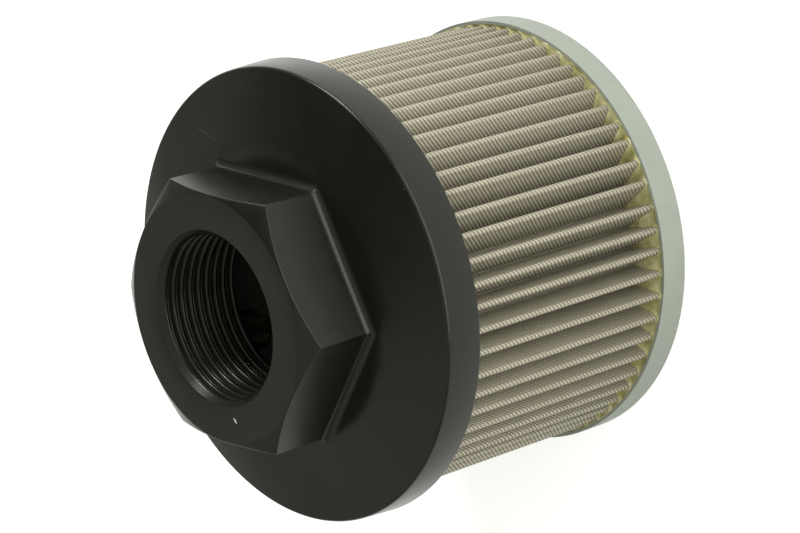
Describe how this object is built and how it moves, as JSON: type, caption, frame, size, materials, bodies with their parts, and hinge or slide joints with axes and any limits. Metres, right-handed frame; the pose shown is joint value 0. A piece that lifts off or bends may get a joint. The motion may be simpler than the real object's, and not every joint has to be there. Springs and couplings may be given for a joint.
{
  "type": "hydraulic suction filter",
  "caption": "Suction strainer for a hydraulic tank: pleated wire-cloth pack between a pressed end cap and a moulded head with a hexagon and a female threaded port.",
  "frame": {"origin": "centre of the face that the end cap stands on, on the filter's axis", "axes": "+Z along the filter's axis towards the port, +X through a corner of the hexagon"},
  "size_m": [0.0872, 0.0872, 0.0809],
  "materials": {
    "head_nylon": "black glass-filled nylon, satin",
    "cap_steel": "galvanised steel, matt",
    "tube_steel": "galvanised steel, matt",
    "wire_cloth": "woven stainless wire",
    "clip_steel": "galvanised steel, matt",
    "resin": "cast epoxy, glossy"
  },
  "bodies": {
    "root": {"head": "head_nylon", "end_cap": "cap_steel", "support_tube": "tube_steel", "pleated_mesh": "wire_cloth", "seam_clip": "clip_steel", "cap_resin": "resin", "head_resin": "resin"}
  },
  "joints": []
}
